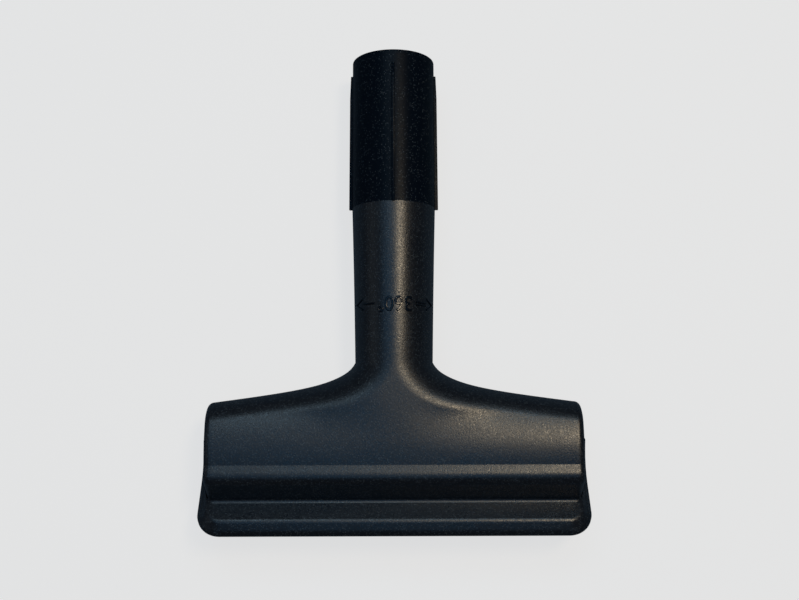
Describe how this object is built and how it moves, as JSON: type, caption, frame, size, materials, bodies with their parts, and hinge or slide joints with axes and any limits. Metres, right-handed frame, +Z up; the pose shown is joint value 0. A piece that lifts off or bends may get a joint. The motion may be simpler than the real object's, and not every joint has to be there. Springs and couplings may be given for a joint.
{
  "type": "vacuum upholstery nozzle",
  "caption": "T-shaped upholstery nozzle of black satin plastic: ribbed spigot, tapered neck, wide flared head, tilted sole plate with a suction slot and lint strips.",
  "frame": {"origin": "on the table, under the middle of the nozzle's bounding box, as it lies at rest on the rear edge of its sole and the root of its lowest spigot rib", "axes": "+Y along the tube towards the spigot's tip, +X across the head, +Z up from the table"},
  "size_m": [0.1536, 0.1884, 0.0355],
  "materials": {
    "housing": "black satin moulding, finely spark-eroded, smoother on the spigot",
    "sole_plate": "black satin moulding",
    "lint_strip": "dark short-pile velour"
  },
  "bodies": {
    "root": {"housing": "housing", "sole_plate": "sole_plate", "front_lint_strip": "lint_strip", "rear_lint_strip": "lint_strip"}
  },
  "joints": []
}
